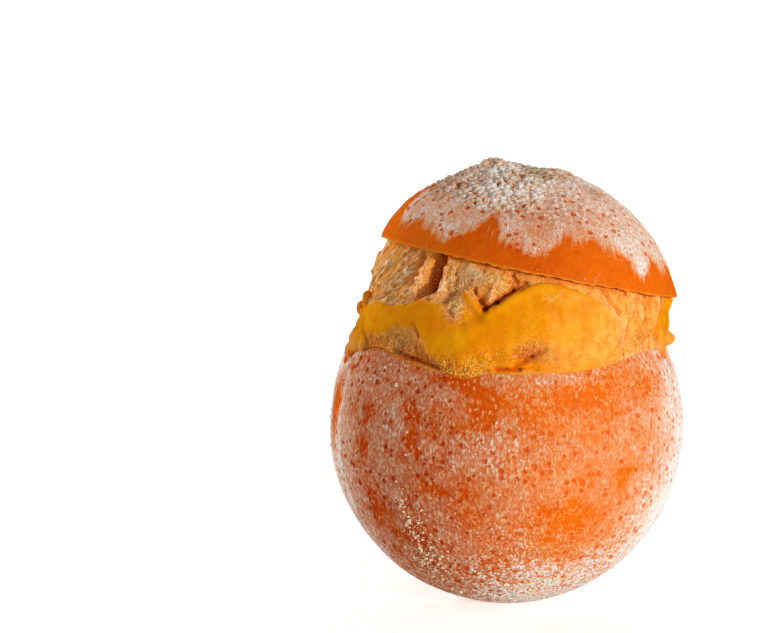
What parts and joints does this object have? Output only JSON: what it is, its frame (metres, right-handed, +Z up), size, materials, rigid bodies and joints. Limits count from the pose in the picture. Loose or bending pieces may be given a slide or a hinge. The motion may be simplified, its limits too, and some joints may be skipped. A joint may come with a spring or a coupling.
{
  "type": "orange sorbet in its own peel",
  "caption": "Hollowed frosted orange filled with orange sorbet that mounds above the cut rim, with the cut-off cap of peel laid askew on top.",
  "frame": {"origin": "middle of the whole object seen from above, at the level of the small flat that it stands on", "axes": "+Z up through the fruit, -Y towards the side with the low point of the cut, +X towards the side that the cap leans down to"},
  "size_m": [0.0839, 0.0838, 0.1061],
  "materials": {
    "shell": "frosted orange peel",
    "sorbet": "frozen sorbet, granular, melting where it is glossy",
    "cap": "frosted orange peel"
  },
  "bodies": {
    "root": {"shell": "shell", "sorbet": "sorbet", "cap": "cap"}
  },
  "joints": []
}
